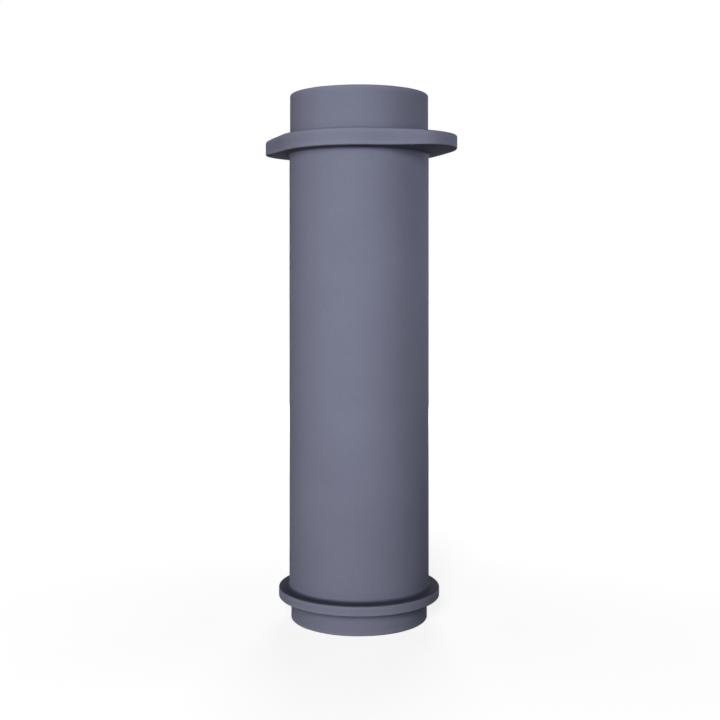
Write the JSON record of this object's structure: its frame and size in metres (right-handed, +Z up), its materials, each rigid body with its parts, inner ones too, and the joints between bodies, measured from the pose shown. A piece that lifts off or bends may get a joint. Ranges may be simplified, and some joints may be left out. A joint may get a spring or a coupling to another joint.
{
  "type": "cast iron chimney pipe",
  "caption": "Straight cast iron flue pipe standing upright, with a plain spigot at each end, a thick two-eared flange near the top and a round collar ring near the bottom.",
  "frame": {"origin": "centre of the bottom end, on the pipe's axis, at the level it stands on", "axes": "+Z up along the pipe towards the flange, X along the flange's two ears, Y across them"},
  "size_m": [0.199, 0.155, 0.5],
  "materials": {
    "cast_iron": "smooth blue-grey as-cast skin, satin"
  },
  "bodies": {
    "root": {"pipe_casting": "cast_iron"}
  },
  "joints": []
}
